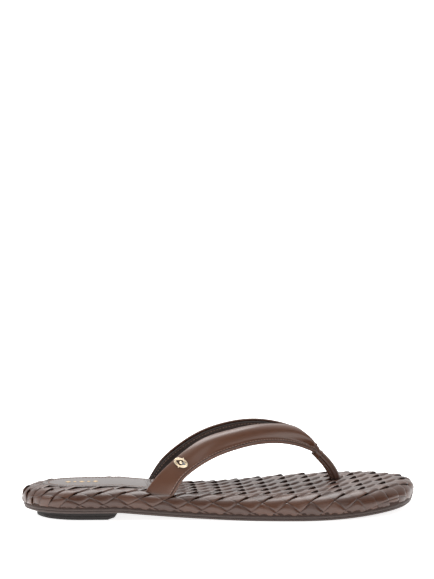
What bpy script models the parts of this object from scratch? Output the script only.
"""A right-foot thong sandal (flip flop) with a woven leather footbed.

Units are millimetres in the constants and helper functions, and every mesh is
written to Blender in metres.  +X points to the toe, +Y to the inner (medial)
side of the foot and +Z up.  The origin is the centre of the bounding box, on
the ground.

The sole is modelled flat, layer by layer, and every layer is then lifted by
the same rocker curve: up on the heel, flat under the ball, up at the toe.  The
layers above the insole board also swell under the forefoot.
Heights in the layer lists are therefore measured from the outsole's underside.
"""

import math

import bmesh
import bpy
from mathutils import Matrix, Vector

MM = 0.001
GAP = 0.35

# Overall size of the footbed, seen from above.
LENGTH = 256.0
WIDTH = 90.0

# Rocker curve of the underside.
HEEL_RISE = 4.9
HEEL_BREAST_X = -64.5
BALL_FLAT = (22.0, 48.0)
TOE_SPRING = 4.9

# Heights of the layers above the underside.
OUTSOLE_TOP = 3.0
TURNED_EDGE = (OUTSOLE_TOP + GAP, 4.35)
BOARD = (TURNED_EDGE[1] + GAP, 6.2)
SIDE_MIDDLE = 7.4
CROWN_TOP = 15.7
COVER_WALL = 1.2

# The cushion is thicker under the forefoot, most of all on the inner side.
SWELL = 2.5
SWELL_SPAN = (-50.0, 80.0)
SWELL_END = (90.0, 128.0)
SWELL_ACROSS = (-30.0, 30.0)
SWELL_OUTER_SHARE = 0.45
SWELL_TOE_SHARE = 0.4

# Distances in from the edge of the footbed.
OUTSOLE_INSET = 1.8
TURNED_EDGE_INSET = 12.0
BOARD_INSET = 3.6
ROLL_IN = 13.0
TUCK_IN = 2.0
ROUNDNESS = 2.4

# Heel lift and the nails that hold it.
LIFT_INSET = 5.2
LIFT_SETBACK = 3.6
LIFT_SLOPE = 3.5
NAIL_RADIUS = 0.8
NAIL_HEAD_RADIUS = 1.9
NAIL_HEAD = 0.7

# Strap layers, measured outwards from the strap's middle surface.
LINING = (-2.55, -1.6)
TAPE = (-1.25, -0.85)
PADDING_BACK = -0.5
OUTER_LEATHER = 1.1
STRAP_CROWN = 2.9
STRAP_STATIONS = 18

# Slots that the straps go through, and the tails below them.
STRAP_FOOT_X = -41.0
STRAP_TAILS = (("lateral", -28.0, 1), ("medial", 24.4, -1))
SLOT_LENGTH = 24.0
SLOT_OUTWARDS = 1.7
SLOT_INWARDS = 6.0
SLOT_FLOOR = 7.9

# Tails of the straps, under the insole board.
TAIL_LENGTH = 13.0
TAIL_THICKNESS = 1.0
TAIL_REACH = 15.0
TAIL_TOP = 8.0

# Stiffener in the waist: from, to, and half its width.
SHANK_SPAN = (-87.0, 2.0)
SHANK_HALF_WIDTH = 6.5

# Heel pad.
SOCK_BACK = -118.0
SOCK_FRONT = -44.0
SOCK_HALF_WIDTH = 18.0
SOCK_ROUNDING = 26.0
SOCK_EDGE_HEIGHT = 0.5
SOCK_HEIGHT = 0.8
SOCK_TOP_SHARE = 0.86

# Toe post.
POST_TOP_RADIUS = 2.7
POST_RADIUS = 3.4
POST_WALL = 0.9
POST_CORE_RADIUS = 1.4
POST_START = 0.13
POST_FOOT = (78.3, 13.0)
ANCHOR_RADIUS = 7.0

# Stud on the outer strap.
STUD_LENGTH = 9.0
STUD_WIDTH = 6.0
STUD_PIN = 0.75
STUD_PLACE = 0.33
WASHER_RADIUS = 1.8
WASHER_SPAN = (-2.3, -1.9)

SIDE_STATIONS = 26

# Outline of the footbed from the heel, along the outer side, round the toe and
# back along the inner side, as fractions of the length and of the width.
OUTLINE = (
    (-0.500, 0.000),
    (-0.470, -0.200),
    (-0.405, -0.318),
    (-0.310, -0.352),
    (-0.175, -0.355),
    (-0.050, -0.390),
    (0.085, -0.462),
    (0.200, -0.500),
    (0.300, -0.478),
    (0.385, -0.395),
    (0.450, -0.270),
    (0.488, -0.110),
    (0.500, 0.035),
    (0.488, 0.175),
    (0.447, 0.315),
    (0.378, 0.425),
    (0.285, 0.490),
    (0.190, 0.487),
    (0.085, 0.412),
    (-0.035, 0.322),
    (-0.155, 0.305),
    (-0.290, 0.335),
    (-0.392, 0.312),
    (-0.463, 0.205),
)
TOE_INDEX = 12

# Edges of the two straps, from inside the footbed up over the foot to the post.
OUTER_LOW_EDGE = (
    (-34.2, -27.6, 11.5),
    (-31.1, -28.8, 16.7),
    (-23.1, -28.6, 27.8),
    (-5.2, -23.5, 38.2),
    (17.0, -15.5, 44.0),
    (35.5, -7.0, 44.5),
    (51.0, 1.0, 41.0),
    (62.0, 6.2, 36.4),
)
OUTER_HIGH_EDGE = (
    (-50.0, -25.2, 12.0),
    (-48.0, -25.4, 18.9),
    (-37.0, -23.6, 31.6),
    (-14.5, -17.2, 47.9),
    (8.5, -9.6, 54.1),
    (30.5, -1.0, 55.9),
    (50.5, 7.0, 52.5),
    (65.0, 9.4, 40.8),
)
INNER_LOW_EDGE = (
    (-31.5, 23.8, 11.5),
    (-29.0, 24.9, 16.7),
    (-21.5, 30.5, 27.9),
    (-4.5, 31.8, 38.4),
    (17.0, 29.0, 44.0),
    (35.5, 24.0, 44.5),
    (51.0, 19.5, 41.0),
    (62.0, 17.6, 36.4),
)
INNER_HIGH_EDGE = (
    (-47.0, 22.6, 12.0),
    (-44.5, 23.2, 18.1),
    (-34.0, 24.6, 32.5),
    (-13.5, 24.6, 47.0),
    (8.5, 22.6, 54.7),
    (29.5, 18.8, 56.4),
    (50.5, 15.2, 51.4),
    (65.0, 14.6, 40.8),
)

POST_ROUTE = (
    (61.5, 11.9, 38.5),
    (66.8, 12.1, 34.9),
    (73.1, 12.6, 28.2),
    (76.9, 12.9, 21.0),
    (78.3, 13.0, 14.0),
    (78.3, 13.0, 5.4),
)


# ---------------------------------------------------------------- curves


def catmull_rom(points, closed=False):
    """A function from 0..1 to a smooth curve through the points."""
    points = [Vector(point) for point in points]
    count = len(points)
    spans = count if closed else count - 1

    def point_at(index):
        if closed:
            return points[index % count]
        if index < 0:
            return 2 * points[0] - points[1]
        if index >= count:
            return 2 * points[-1] - points[-2]
        return points[index]

    def curve(t):
        place = min(max(t, 0.0), 1.0) * spans
        index = min(int(place), spans - 1)
        f = place - index
        before, start, end, after = (point_at(index + k) for k in (-1, 0, 1, 2))
        return 0.5 * (
            2 * start
            + (end - before) * f
            + (2 * before - 5 * start + 4 * end - after) * f**2
            + (3 * start - before - 3 * end + after) * f**3
        )

    return curve


def even_points(curve, start, end, count, samples=400):
    """Points at equal steps along a curve, without the last one."""
    dense = [curve(start + (end - start) * k / samples) for k in range(samples + 1)]
    walked = [0.0]
    for first, second in zip(dense, dense[1:]):
        walked.append(walked[-1] + (second - first).length)
    points = []
    index = 0
    for k in range(count):
        target = walked[-1] * k / count
        while walked[index + 1] < target:
            index += 1
        share = (target - walked[index]) / (walked[index + 1] - walked[index])
        points.append(dense[index].lerp(dense[index + 1], share))
    return points


def footbed_outline():
    """Closed outline, heel first, with as many points on each side."""
    curve = catmull_rom([(x * LENGTH, y * WIDTH, 0) for x, y in OUTLINE], closed=True)
    toe = TOE_INDEX / len(OUTLINE)
    points = even_points(curve, 0, toe, SIDE_STATIONS)
    points += even_points(curve, toe, 1, SIDE_STATIONS)
    low = Vector([min(point[k] for point in points) for k in range(3)])
    high = Vector([max(point[k] for point in points) for k in range(3)])
    middle = (low + high) / 2
    return [point - middle for point in points]


def inwards(points):
    """Unit vectors that point into a counter-clockwise outline."""
    vectors = []
    for index in range(len(points)):
        along = points[(index + 1) % len(points)] - points[index - 1]
        vectors.append(Vector((-along.y, along.x, 0)).normalized())
    return vectors


OUTLINE_POINTS = footbed_outline()
OUTLINE_INWARDS = inwards(OUTLINE_POINTS)


def rocker(x):
    """Height of the underside above the ground."""
    if x < HEEL_BREAST_X:
        return HEEL_RISE
    if x < BALL_FLAT[0]:
        return HEEL_RISE * ((BALL_FLAT[0] - x) / (BALL_FLAT[0] - HEEL_BREAST_X)) ** 2
    if x < BALL_FLAT[1]:
        return 0.0
    return TOE_SPRING * ((x - BALL_FLAT[1]) / (LENGTH / 2 - BALL_FLAT[1])) ** 2


def eased(value, span):
    """Smooth step from 0 to 1 over a span."""
    share = min(max((value - span[0]) / (span[1] - span[0]), 0), 1)
    return share * share * (3 - 2 * share)


def swell(place):
    """Extra height of a point of the flat sole, from none at the board to the
    full swell at the crown."""
    along = eased(place.x, SWELL_SPAN) * (1 - (1 - SWELL_TOE_SHARE) * eased(place.x, SWELL_END))
    across = SWELL_OUTER_SHARE + (1 - SWELL_OUTER_SHARE) * eased(place.y, SWELL_ACROSS)
    up = min(max((place.z - BOARD[1]) / (CROWN_TOP - BOARD[1]), 0), 1)
    return SWELL * along * across * up


# ---------------------------------------------------------------- objects


def material(name, colour, roughness, metallic=0.0):
    """Principled material in linear colour."""
    made = bpy.data.materials.new(name)
    made.use_nodes = True
    shader = made.node_tree.nodes["Principled BSDF"]
    shader.inputs["Base Color"].default_value = (*colour, 1)
    shader.inputs["Roughness"].default_value = roughness
    shader.inputs["Metallic"].default_value = metallic
    made.diffuse_color = (*colour, 1)
    return made


def new_object(name, bm, finish=None, lifted=False, smooth=True):
    """Object from a mesh in millimetres; a flat one gets the sole's curves."""
    if lifted:
        for vertex in bm.verts:
            vertex.co.z += rocker(vertex.co.x) + swell(vertex.co)
    bmesh.ops.scale(bm, vec=(MM, MM, MM), verts=bm.verts)
    bmesh.ops.recalc_face_normals(bm, faces=bm.faces)
    mesh = bpy.data.meshes.new(name)
    bm.to_mesh(mesh)
    bm.free()
    made = bpy.data.objects.new(name, mesh)
    bpy.context.collection.objects.link(made)
    if finish:
        mesh.materials.append(finish)
    if smooth:
        mesh.shade_smooth()
        mesh.set_sharp_from_angle(angle=math.radians(35))
    return made


def cutter(name, bm, lifted=False):
    """Hidden object for Boolean cuts."""
    made = new_object(name, bm, lifted=lifted, smooth=False)
    made.hide_render = True
    made.display_type = "WIRE"
    return made


def cut(target, *tools):
    """Takes each tool out of the target."""
    for tool in tools:
        modifier = target.modifiers.new("cut_" + tool.name, "BOOLEAN")
        modifier.operation = "DIFFERENCE"
        modifier.solver = "EXACT"
        modifier.object = tool


def bridge(bm, first, second):
    """Quads between two closed rings of vertices."""
    count = len(first)
    for index in range(count):
        after = (index + 1) % count
        bm.faces.new((first[index], first[after], second[after], second[index]))


def outline_ring(bm, inset, height):
    """The outline moved in by inset, at a height above the underside."""
    ring = []
    for point, inward in zip(OUTLINE_POINTS, OUTLINE_INWARDS):
        place = point + inward * inset
        ring.append(bm.verts.new((place.x, place.y, height)))
    return ring


def outline_cap(bm, ring):
    """Closes a ring with strips that run across the foot."""
    half = len(ring) // 2
    bm.faces.new((ring[0], ring[1], ring[-1]))
    for index in range(1, half - 1):
        bm.faces.new((ring[index], ring[index + 1], ring[-index - 1], ring[-index]))
    bm.faces.new((ring[half - 1], ring[half], ring[half + 1]))


def layer_mesh(profile):
    """Solid with the footbed's outline and an edge profile of (inset, height)."""
    bm = bmesh.new()
    rings = [outline_ring(bm, inset, height) for inset, height in profile]
    for first, second in zip(rings, rings[1:]):
        bridge(bm, first, second)
    outline_cap(bm, rings[0])
    outline_cap(bm, rings[-1])
    return bm


def quarter_roll(inset, depth, start, rise, steps):
    """Quarter of a soft oval: from the side at start, in by depth and up by rise."""
    points = []
    for step in range(steps + 1):
        angle = math.pi / 2 * step / steps
        across = 1 - math.cos(angle) ** (2 / ROUNDNESS)
        up = math.sin(angle) ** (2 / ROUNDNESS)
        points.append((inset + depth * across, start + rise * up))
    return points


def upper_roll(shrink, steps=6):
    """Edge of the footbed from the middle of its side to its top."""
    rise = CROWN_TOP - SIDE_MIDDLE - shrink
    return quarter_roll(shrink, ROLL_IN - shrink, SIDE_MIDDLE, rise, steps)


def lower_roll(shrink, steps=3):
    """Edge of the footbed from the middle of its side to the turned edge."""
    rise = TURNED_EDGE[0] - SIDE_MIDDLE + shrink
    return quarter_roll(shrink, TUCK_IN, SIDE_MIDDLE, rise, steps)


def block_mesh(low, high, steps=8):
    """Box cut into slices along X, so that it can follow the rocker."""
    bm = bmesh.new()
    rings = []
    for step in range(steps + 1):
        x = low[0] + (high[0] - low[0]) * step / steps
        corners = ((low[1], low[2]), (high[1], low[2]), (high[1], high[2]), (low[1], high[2]))
        rings.append([bm.verts.new((x, y, z)) for y, z in corners])
    for first, second in zip(rings, rings[1:]):
        bridge(bm, first, second)
    bm.faces.new(rings[0])
    bm.faces.new(rings[-1])
    return bm


def turned_mesh(profile, place, segments=16):
    """Round solid about Z from a profile of (radius, height)."""
    bm = bmesh.new()
    rings = []
    for radius, height in profile:
        ring = []
        for step in range(segments):
            angle = 2 * math.pi * step / segments
            spot = (
                place[0] + radius * math.cos(angle),
                place[1] + radius * math.sin(angle),
                height,
            )
            ring.append(bm.verts.new(spot))
        rings.append(ring)
    for first, second in zip(rings, rings[1:]):
        bridge(bm, first, second)
    bm.faces.new(rings[0])
    bm.faces.new(rings[-1])
    return bm


# ---------------------------------------------------------------- sole


def make_outsole(finish):
    """Rubber outsole: rounded lower edge and a step between its two bands."""
    profile = [
        (OUTSOLE_INSET + 1.6, 0.0),
        (OUTSOLE_INSET + 0.8, 0.3),
        (OUTSOLE_INSET + 0.45, 0.9),
        (OUTSOLE_INSET + 0.4, 1.6),
        (OUTSOLE_INSET, 1.8),
        (OUTSOLE_INSET, OUTSOLE_TOP),
    ]
    return new_object("outsole", layer_mesh(profile), finish, lifted=True)


def make_heel_lift(finish):
    """Block under the heel with the heel's outline and a sloping front."""
    bm = bmesh.new()
    top = HEEL_RISE - GAP
    profile = ((0.9, 0.0), (0.25, 0.35), (0.0, 1.1), (0.0, top))
    side = [
        index
        for index, point in enumerate(OUTLINE_POINTS)
        if point.x < HEEL_BREAST_X - LIFT_INSET - LIFT_SLOPE
    ]
    half = len(OUTLINE_POINTS) // 2
    side.sort(key=lambda index: index if index < half else index - 2 * half)
    rings = []
    for inset, height in profile:
        ring = []
        for index in side:
            inward = OUTLINE_INWARDS[index]
            setback = LIFT_SETBACK * max(inward.x, 0)
            spot = OUTLINE_POINTS[index] + inward * (LIFT_INSET + setback + inset)
            ring.append(Vector((spot.x, spot.y, height)))
        breast = HEEL_BREAST_X - LIFT_SLOPE * (1 - height / top) - inset
        front = [Vector((breast, ring[-1].y, height)), Vector((breast, ring[0].y, height))]
        rings.append([bm.verts.new(spot) for spot in ring + front])
    for first, second in zip(rings, rings[1:]):
        bridge(bm, first, second)
    bm.faces.new(rings[0])
    bm.faces.new(rings[-1])
    return new_object("heel_lift", bm, finish)


def nail_places():
    """One nail at the back of the heel and two pairs towards its front."""
    places = [(-LENGTH / 2 + 21.0, 0.0)]
    for x in (-LENGTH / 2 + 33.0, HEEL_BREAST_X - 11.5):
        places += [(x, -11.0), (x, 11.0)]
    return places


def make_heel_nails(finish):
    """Nails driven from the insole board through the outsole into the lift."""
    tip = 1.4 - HEEL_RISE
    head = BOARD[1] + GAP
    nails = []
    for number, place in enumerate(nail_places(), 1):
        profile = (
            (0.3, tip),
            (NAIL_RADIUS, tip + 1.6),
            (NAIL_RADIUS, head),
            (NAIL_HEAD_RADIUS, head),
            (NAIL_HEAD_RADIUS * 0.8, head + NAIL_HEAD),
        )
        bm = turned_mesh(profile, place, segments=10)
        nails.append(new_object(f"heel_nail_{number}", bm, finish, lifted=True))
    return nails


def nail_cutters():
    """Clearance holes for the nails, with room for their heads."""
    tools = []
    for number, place in enumerate(nail_places(), 1):
        shaft = NAIL_RADIUS + GAP
        head = NAIL_HEAD_RADIUS + GAP
        profile = (
            (shaft, 1.0 - HEEL_RISE),
            (shaft, BOARD[1] + GAP / 2),
            (head, BOARD[1] + GAP / 2),
            (head, BOARD[1] + 2 * GAP + NAIL_HEAD),
        )
        bm = turned_mesh(profile, place, segments=10)
        tools.append(cutter(f"nail_hole_{number}", bm, lifted=True))
    return tools


def make_insole_board(finish):
    """Stiff board that the woven cover is turned under."""
    profile = [(BOARD_INSET + 1.0, BOARD[0]), (BOARD_INSET, BOARD[0] + 0.6), (BOARD_INSET, BOARD[1])]
    return new_object("insole_board", layer_mesh(profile), finish, lifted=True)


def make_footbed_foam(finish):
    """Cushion on the board, rounded like the cover that holds it."""
    shrink = COVER_WALL + GAP
    edge = BOARD[1] + GAP
    profile = [(shrink + 0.9, edge), (shrink + 0.2, edge + 0.7)] + upper_roll(shrink)
    return new_object("footbed_foam", layer_mesh(profile), finish, lifted=True)


def make_woven_cover(finish):
    """Leather cover over the foam, its edge turned in under the board."""
    outside = [(TURNED_EDGE_INSET, TURNED_EDGE[0])] + lower_roll(0)[:0:-1] + upper_roll(0)
    inside = upper_roll(COVER_WALL)[::-1] + lower_roll(COVER_WALL)[1:]
    inside.append((TURNED_EDGE_INSET, TURNED_EDGE[0] + COVER_WALL))
    bm = bmesh.new()
    outer_rings = [outline_ring(bm, inset, height) for inset, height in outside]
    inner_rings = [outline_ring(bm, inset, height) for inset, height in inside]
    outline_cap(bm, outer_rings[-1])
    outline_cap(bm, inner_rings[0])
    for rings in (outer_rings, inner_rings):
        for first, second in zip(rings, rings[1:]):
            bridge(bm, first, second)
    bridge(bm, inner_rings[-1], outer_rings[0])
    return new_object("woven_cover", bm, finish, lifted=True)


def make_bottom_filler(finish):
    """Sheet that fills the hollow inside the turned edge of the cover."""
    inset = TURNED_EDGE_INSET + GAP
    profile = [(inset, TURNED_EDGE[0]), (inset, TURNED_EDGE[1])]
    return new_object("bottom_filler", layer_mesh(profile), finish, lifted=True)


def make_shank(finish, grow=0.0):
    """Stiffener strip in the waist, or its pocket when it is grown."""
    side = SHANK_HALF_WIDTH + grow
    low = (SHANK_SPAN[0] - grow, -side, TURNED_EDGE[0] - grow)
    high = (SHANK_SPAN[1] + grow, side, TURNED_EDGE[1] + grow)
    bm = block_mesh(low, high, steps=12)
    if finish:
        return new_object("shank", bm, finish, lifted=True)
    return cutter("shank_pocket", bm, lifted=True)


def make_heel_sock(finish):
    """Smooth pad on the heel seat, rounded at the back and square in front."""
    bm = bmesh.new()
    steps = 12
    low = CROWN_TOP + GAP
    edge = low + SOCK_EDGE_HEIGHT
    top = low + SOCK_HEIGHT
    rings = []
    for step in range(steps + 1):
        x = SOCK_BACK + (SOCK_FRONT - SOCK_BACK) * (step / steps) ** 1.6
        share = min((x - SOCK_BACK) / SOCK_ROUNDING + 0.02, 1)
        width = SOCK_HALF_WIDTH * math.sqrt(1 - (1 - share) ** 2)
        inner = SOCK_TOP_SHARE * width
        section = ((-width, low), (width, low), (width, edge))
        section += ((inner, top), (-inner, top), (-width, edge))
        rings.append([bm.verts.new((x, y, z)) for y, z in section])
    for first, second in zip(rings, rings[1:]):
        bridge(bm, first, second)
    bm.faces.new(rings[0])
    bm.faces.new(rings[-1])
    return new_object("heel_sock", bm, finish, lifted=True)


# ---------------------------------------------------------------- straps


class Branch:
    """Middle surface of one strap between its lower and its upper edge."""

    def __init__(self, low_edge, high_edge, side):
        self.low = catmull_rom(low_edge)
        self.high = catmull_rom(high_edge)
        self.side = side

    def frame(self, along):
        """Middle, half width and outward unit vector of a cross-section."""
        step = 0.01
        middle = (self.low(along) + self.high(along)) / 2
        ahead = (self.low(along + step) + self.high(along + step)) / 2
        behind = (self.low(along - step) + self.high(along - step)) / 2
        half_width = (self.high(along) - self.low(along)) / 2
        outwards = (ahead - behind).cross(half_width).normalized() * self.side
        return middle, half_width, outwards

    def place(self, along, across, out):
        """Point on the strap: along 0..1, across -1..1, out in millimetres."""
        middle, half_width, outwards = self.frame(along)
        return middle + half_width * across + outwards * out


def plumpness(along):
    """How far the padding has filled out: flat at the foot and at the post."""
    rising = min(max((along - 0.12) / 0.26, 0), 1)
    falling = min(max((1.0 - along) / 0.10, 0), 1)
    return math.sin(math.pi / 2 * rising) * (0.45 + 0.55 * falling)


def outer_back(along, across):
    """Back of the outer leather above the strap's middle surface."""
    return PADDING_BACK + STRAP_CROWN * plumpness(along) * (1 - across**2)


def strap_layer(name, branch, finish, reach, back, front, span=(0, 1), points=7):
    """One layer of a strap: reach is its share of the width on either side."""
    bm = bmesh.new()
    rings = []
    for station in range(STRAP_STATIONS + 1):
        along = span[0] + (span[1] - span[0]) * station / STRAP_STATIONS
        across = [reach * (2 * k / (points - 1) - 1) for k in range(points)]
        ring = [branch.place(along, v, back(along, v)) for v in across]
        ring += [branch.place(along, v, front(along, v)) for v in reversed(across)]
        rings.append([bm.verts.new(spot) for spot in ring])
    for first, second in zip(rings, rings[1:]):
        bridge(bm, first, second)
    bm.faces.new(rings[0])
    bm.faces.new(rings[-1])
    return new_object(name, bm, finish)


def make_strap(side_name, branch, finishes):
    """Outer leather, padding, tape and lining of one strap."""

    def level(height):
        return lambda along, across: height

    def outer_front(along, across):
        return outer_back(along, across) + OUTER_LEATHER

    def padding_front(along, across):
        return outer_back(along, across) - GAP

    outer = strap_layer(
        side_name + "_strap_outer", branch, finishes["leather"], 1.0, outer_back, outer_front
    )
    strap_layer(
        side_name + "_strap_padding",
        branch,
        finishes["foam"],
        0.72,
        level(PADDING_BACK),
        padding_front,
        span=(0.42, 0.96),
        points=5,
    )
    strap_layer(
        side_name + "_strap_tape",
        branch,
        finishes["webbing"],
        0.45,
        level(TAPE[0]),
        level(TAPE[1]),
        points=3,
    )
    strap_layer(
        side_name + "_strap_lining",
        branch,
        finishes["lining"],
        0.94,
        level(LINING[0]),
        level(LINING[1]),
        points=4,
    )
    return outer


def tail_mesh(edge_y, towards, grow=0.0):
    """Tail of a strap: down through the board, then flat under it."""
    low = TURNED_EDGE[0]
    near = edge_y - towards * grow
    far = edge_y + towards * (TAIL_REACH + grow)
    turn = edge_y + towards * (TAIL_THICKNESS + grow)
    section = (
        (near, TAIL_TOP + grow),
        (near, low - grow),
        (far, low - grow),
        (far, low + TAIL_THICKNESS + grow),
        (turn, low + TAIL_THICKNESS + grow),
        (turn, TAIL_TOP + grow),
    )
    bm = bmesh.new()
    rings = []
    steps = 4
    for step in range(steps + 1):
        x = STRAP_FOOT_X + (TAIL_LENGTH + 2 * grow) * (step / steps - 0.5)
        rings.append([bm.verts.new((x, y, z)) for y, z in section])
    for first, second in zip(rings, rings[1:]):
        bridge(bm, first, second)
    bm.faces.new(rings[0])
    bm.faces.new(rings[-1])
    return bm


def make_strap_tails(finish):
    """Skived tails that hold both straps under the insole board."""
    for side, edge_y, towards in STRAP_TAILS:
        new_object(side + "_strap_tail", tail_mesh(edge_y, towards), finish, lifted=True)


def strap_cutters():
    """Slots in the footbed for the straps, and channels for their tails."""
    tools = []
    for side, edge_y, towards in STRAP_TAILS:
        channel = tail_mesh(edge_y, towards, grow=GAP)
        tools.append(cutter(side + "_tail_channel", channel, lifted=True))
        walls = sorted((edge_y - towards * SLOT_OUTWARDS, edge_y + towards * SLOT_INWARDS))
        half = SLOT_LENGTH / 2
        low = (STRAP_FOOT_X - half, walls[0], SLOT_FLOOR)
        high = (STRAP_FOOT_X + half, walls[1], CROWN_TOP + 6.0)
        tools.append(cutter(side + "_strap_slot", block_mesh(low, high), lifted=True))
    return tools


# ---------------------------------------------------------------- toe post


def tube_mesh(route, radii, wall=0.0, start=0.0, end=1.0, stations=13, segments=12):
    """Rod along a route, or a tube if it has a wall; radii are at its two ends."""
    bm = bmesh.new()
    curve = catmull_rom(route)
    side = Vector((0, 1, 0))
    outer_rings = []
    inner_rings = []
    for station in range(stations + 1):
        share = station / stations
        t = start + (end - start) * share
        radius = radii[0] + (radii[1] - radii[0]) * share
        along = (curve(t + 0.01) - curve(t - 0.01)).normalized()
        across = side.cross(along).normalized()
        over = along.cross(across)
        sizes = [(outer_rings, radius)]
        if wall:
            sizes.append((inner_rings, radius - wall))
        for rings, size in sizes:
            ring = []
            for step in range(segments):
                angle = 2 * math.pi * step / segments
                offset = across * math.cos(angle) + over * math.sin(angle)
                ring.append(bm.verts.new(curve(t) + offset * size))
            rings.append(ring)
    for first, second in zip(outer_rings, outer_rings[1:]):
        bridge(bm, first, second)
    if wall:
        for first, second in zip(inner_rings, inner_rings[1:]):
            bridge(bm, first, second)
        bridge(bm, outer_rings[0], inner_rings[0])
        bridge(bm, outer_rings[-1], inner_rings[-1])
    else:
        bm.faces.new(outer_rings[0])
        bm.faces.new(outer_rings[-1])
    return bm


def make_toe_post(finishes):
    """Rolled leather post, its cord and the washer that anchors the cord."""
    radii = (POST_TOP_RADIUS, POST_RADIUS)
    cover = tube_mesh(POST_ROUTE, radii, POST_WALL, start=POST_START, end=0.95)
    new_object("toe_post_cover", cover, finishes["leather"])
    core = tube_mesh(POST_ROUTE, (POST_CORE_RADIUS, POST_CORE_RADIUS), start=POST_START)
    new_object("toe_post_core", core, finishes["webbing"])
    low, high = TURNED_EDGE
    rim = ANCHOR_RADIUS - 0.5
    washer = turned_mesh(((rim, low), (ANCHOR_RADIUS, low + 0.3), (ANCHOR_RADIUS, high)), POST_FOOT)
    new_object("toe_post_anchor", washer, finishes["metal"], lifted=True)


def post_hole():
    """Hole in the footbed: wide for the leather, narrow for the cord."""
    wide = POST_RADIUS + 2 * GAP
    narrow = POST_CORE_RADIUS + GAP
    step = BOARD[1] + GAP / 2
    profile = (
        (narrow, TURNED_EDGE[1]),
        (narrow, step),
        (wide, step),
        (wide, CROWN_TOP + 4.0),
    )
    return cutter("post_hole", turned_mesh(profile, POST_FOOT), lifted=True)


def anchor_pocket():
    """Room for the washer in the bottom filler."""
    radius = ANCHOR_RADIUS + GAP
    profile = ((radius, TURNED_EDGE[0] - GAP), (radius, TURNED_EDGE[1] + GAP))
    return cutter("anchor_pocket", turned_mesh(profile, POST_FOOT), lifted=True)


# ---------------------------------------------------------------- stud


def stud_matrix(branch):
    """Frame on the strap's face: X across the strap and Z outwards."""
    middle, half_width, outwards = branch.frame(STUD_PLACE)
    across = half_width.normalized()
    along = outwards.cross(across).normalized()
    top = outer_back(STUD_PLACE, 0) + OUTER_LEATHER
    turn = Matrix((across, along, outwards)).transposed().to_4x4()
    return Matrix.Translation(middle + outwards * top) @ turn


def make_stud(branch, finish, outer):
    """Oval stud with a rivet pin, and the washer that holds it inside."""
    place = stud_matrix(branch)
    stretch = STUD_LENGTH / STUD_WIDTH
    radius = STUD_WIDTH / 2
    profile = (
        (STUD_PIN, -1.1),
        (STUD_PIN, GAP * 0.5),
        (radius - 0.2, GAP),
        (radius, GAP + 0.3),
        (radius - 0.4, 0.9),
        (1.2, 1.15),
        (0.6, 1.6),
    )
    stud = turned_mesh(profile, (0, 0), segments=20)
    for vertex in stud.verts:
        if vertex.co.z > GAP * 0.75:
            vertex.co.x *= stretch
    bmesh.ops.transform(stud, matrix=place, verts=stud.verts)
    new_object("ornament", stud, finish)
    washer = turned_mesh([(WASHER_RADIUS, height) for height in WASHER_SPAN], (0, 0))
    bmesh.ops.transform(washer, matrix=place, verts=washer.verts)
    new_object("ornament_washer", washer, finish)
    reach = 3.0
    hole = turned_mesh(((STUD_PIN + GAP, -reach), (STUD_PIN + GAP, reach)), (0, 0), segments=12)
    bmesh.ops.transform(hole, matrix=place, verts=hole.verts)
    cut(outer, cutter("stud_hole", hole))


# ---------------------------------------------------------------- assembly


def clear_scene():
    """Removes every object that is already there."""
    for old in list(bpy.data.objects):
        bpy.data.objects.remove(old, do_unlink=True)


def make_finishes():
    """Materials of the sandal."""
    return {
        "leather": material("brown_leather", (0.130, 0.060, 0.040), 0.42),
        "lining": material("lining_leather", (0.052, 0.036, 0.030), 0.55),
        "rubber": material("outsole_rubber", (0.070, 0.048, 0.040), 0.6),
        "foam": material("cushion_foam", (0.55, 0.50, 0.42), 0.9),
        "board": material("fibre_board", (0.42, 0.30, 0.18), 0.85),
        "webbing": material("nylon_webbing", (0.10, 0.08, 0.07), 0.8),
        "metal": material("steel", (0.55, 0.55, 0.55), 0.35, 1.0),
        "gold": material("gold_plated_metal", (0.83, 0.62, 0.30), 0.22, 1.0),
    }


def main():
    clear_scene()
    finishes = make_finishes()

    outsole = make_outsole(finishes["rubber"])
    heel_lift = make_heel_lift(finishes["rubber"])
    board = make_insole_board(finishes["board"])
    foam = make_footbed_foam(finishes["foam"])
    cover = make_woven_cover(finishes["leather"])
    filler = make_bottom_filler(finishes["foam"])
    make_shank(finishes["metal"])
    make_heel_sock(finishes["leather"])
    make_heel_nails(finishes["metal"])

    outer_branch = Branch(OUTER_LOW_EDGE, OUTER_HIGH_EDGE, 1)
    inner_branch = Branch(INNER_LOW_EDGE, INNER_HIGH_EDGE, -1)
    lateral_outer = make_strap("lateral", outer_branch, finishes)
    make_strap("medial", inner_branch, finishes)
    make_strap_tails(finishes["leather"])
    make_toe_post(finishes)
    make_stud(outer_branch, finishes["gold"], lateral_outer)

    nail_holes = nail_cutters()
    strap_slots = strap_cutters()
    cut(outsole, *nail_holes)
    cut(heel_lift, *nail_holes)
    hole = post_hole()
    cut(board, hole, *nail_holes, *strap_slots)
    cut(foam, hole, *nail_holes, *strap_slots)
    cut(cover, hole, *strap_slots)
    cut(filler, make_shank(None, grow=GAP), anchor_pocket(), *nail_holes, *strap_slots)


main()
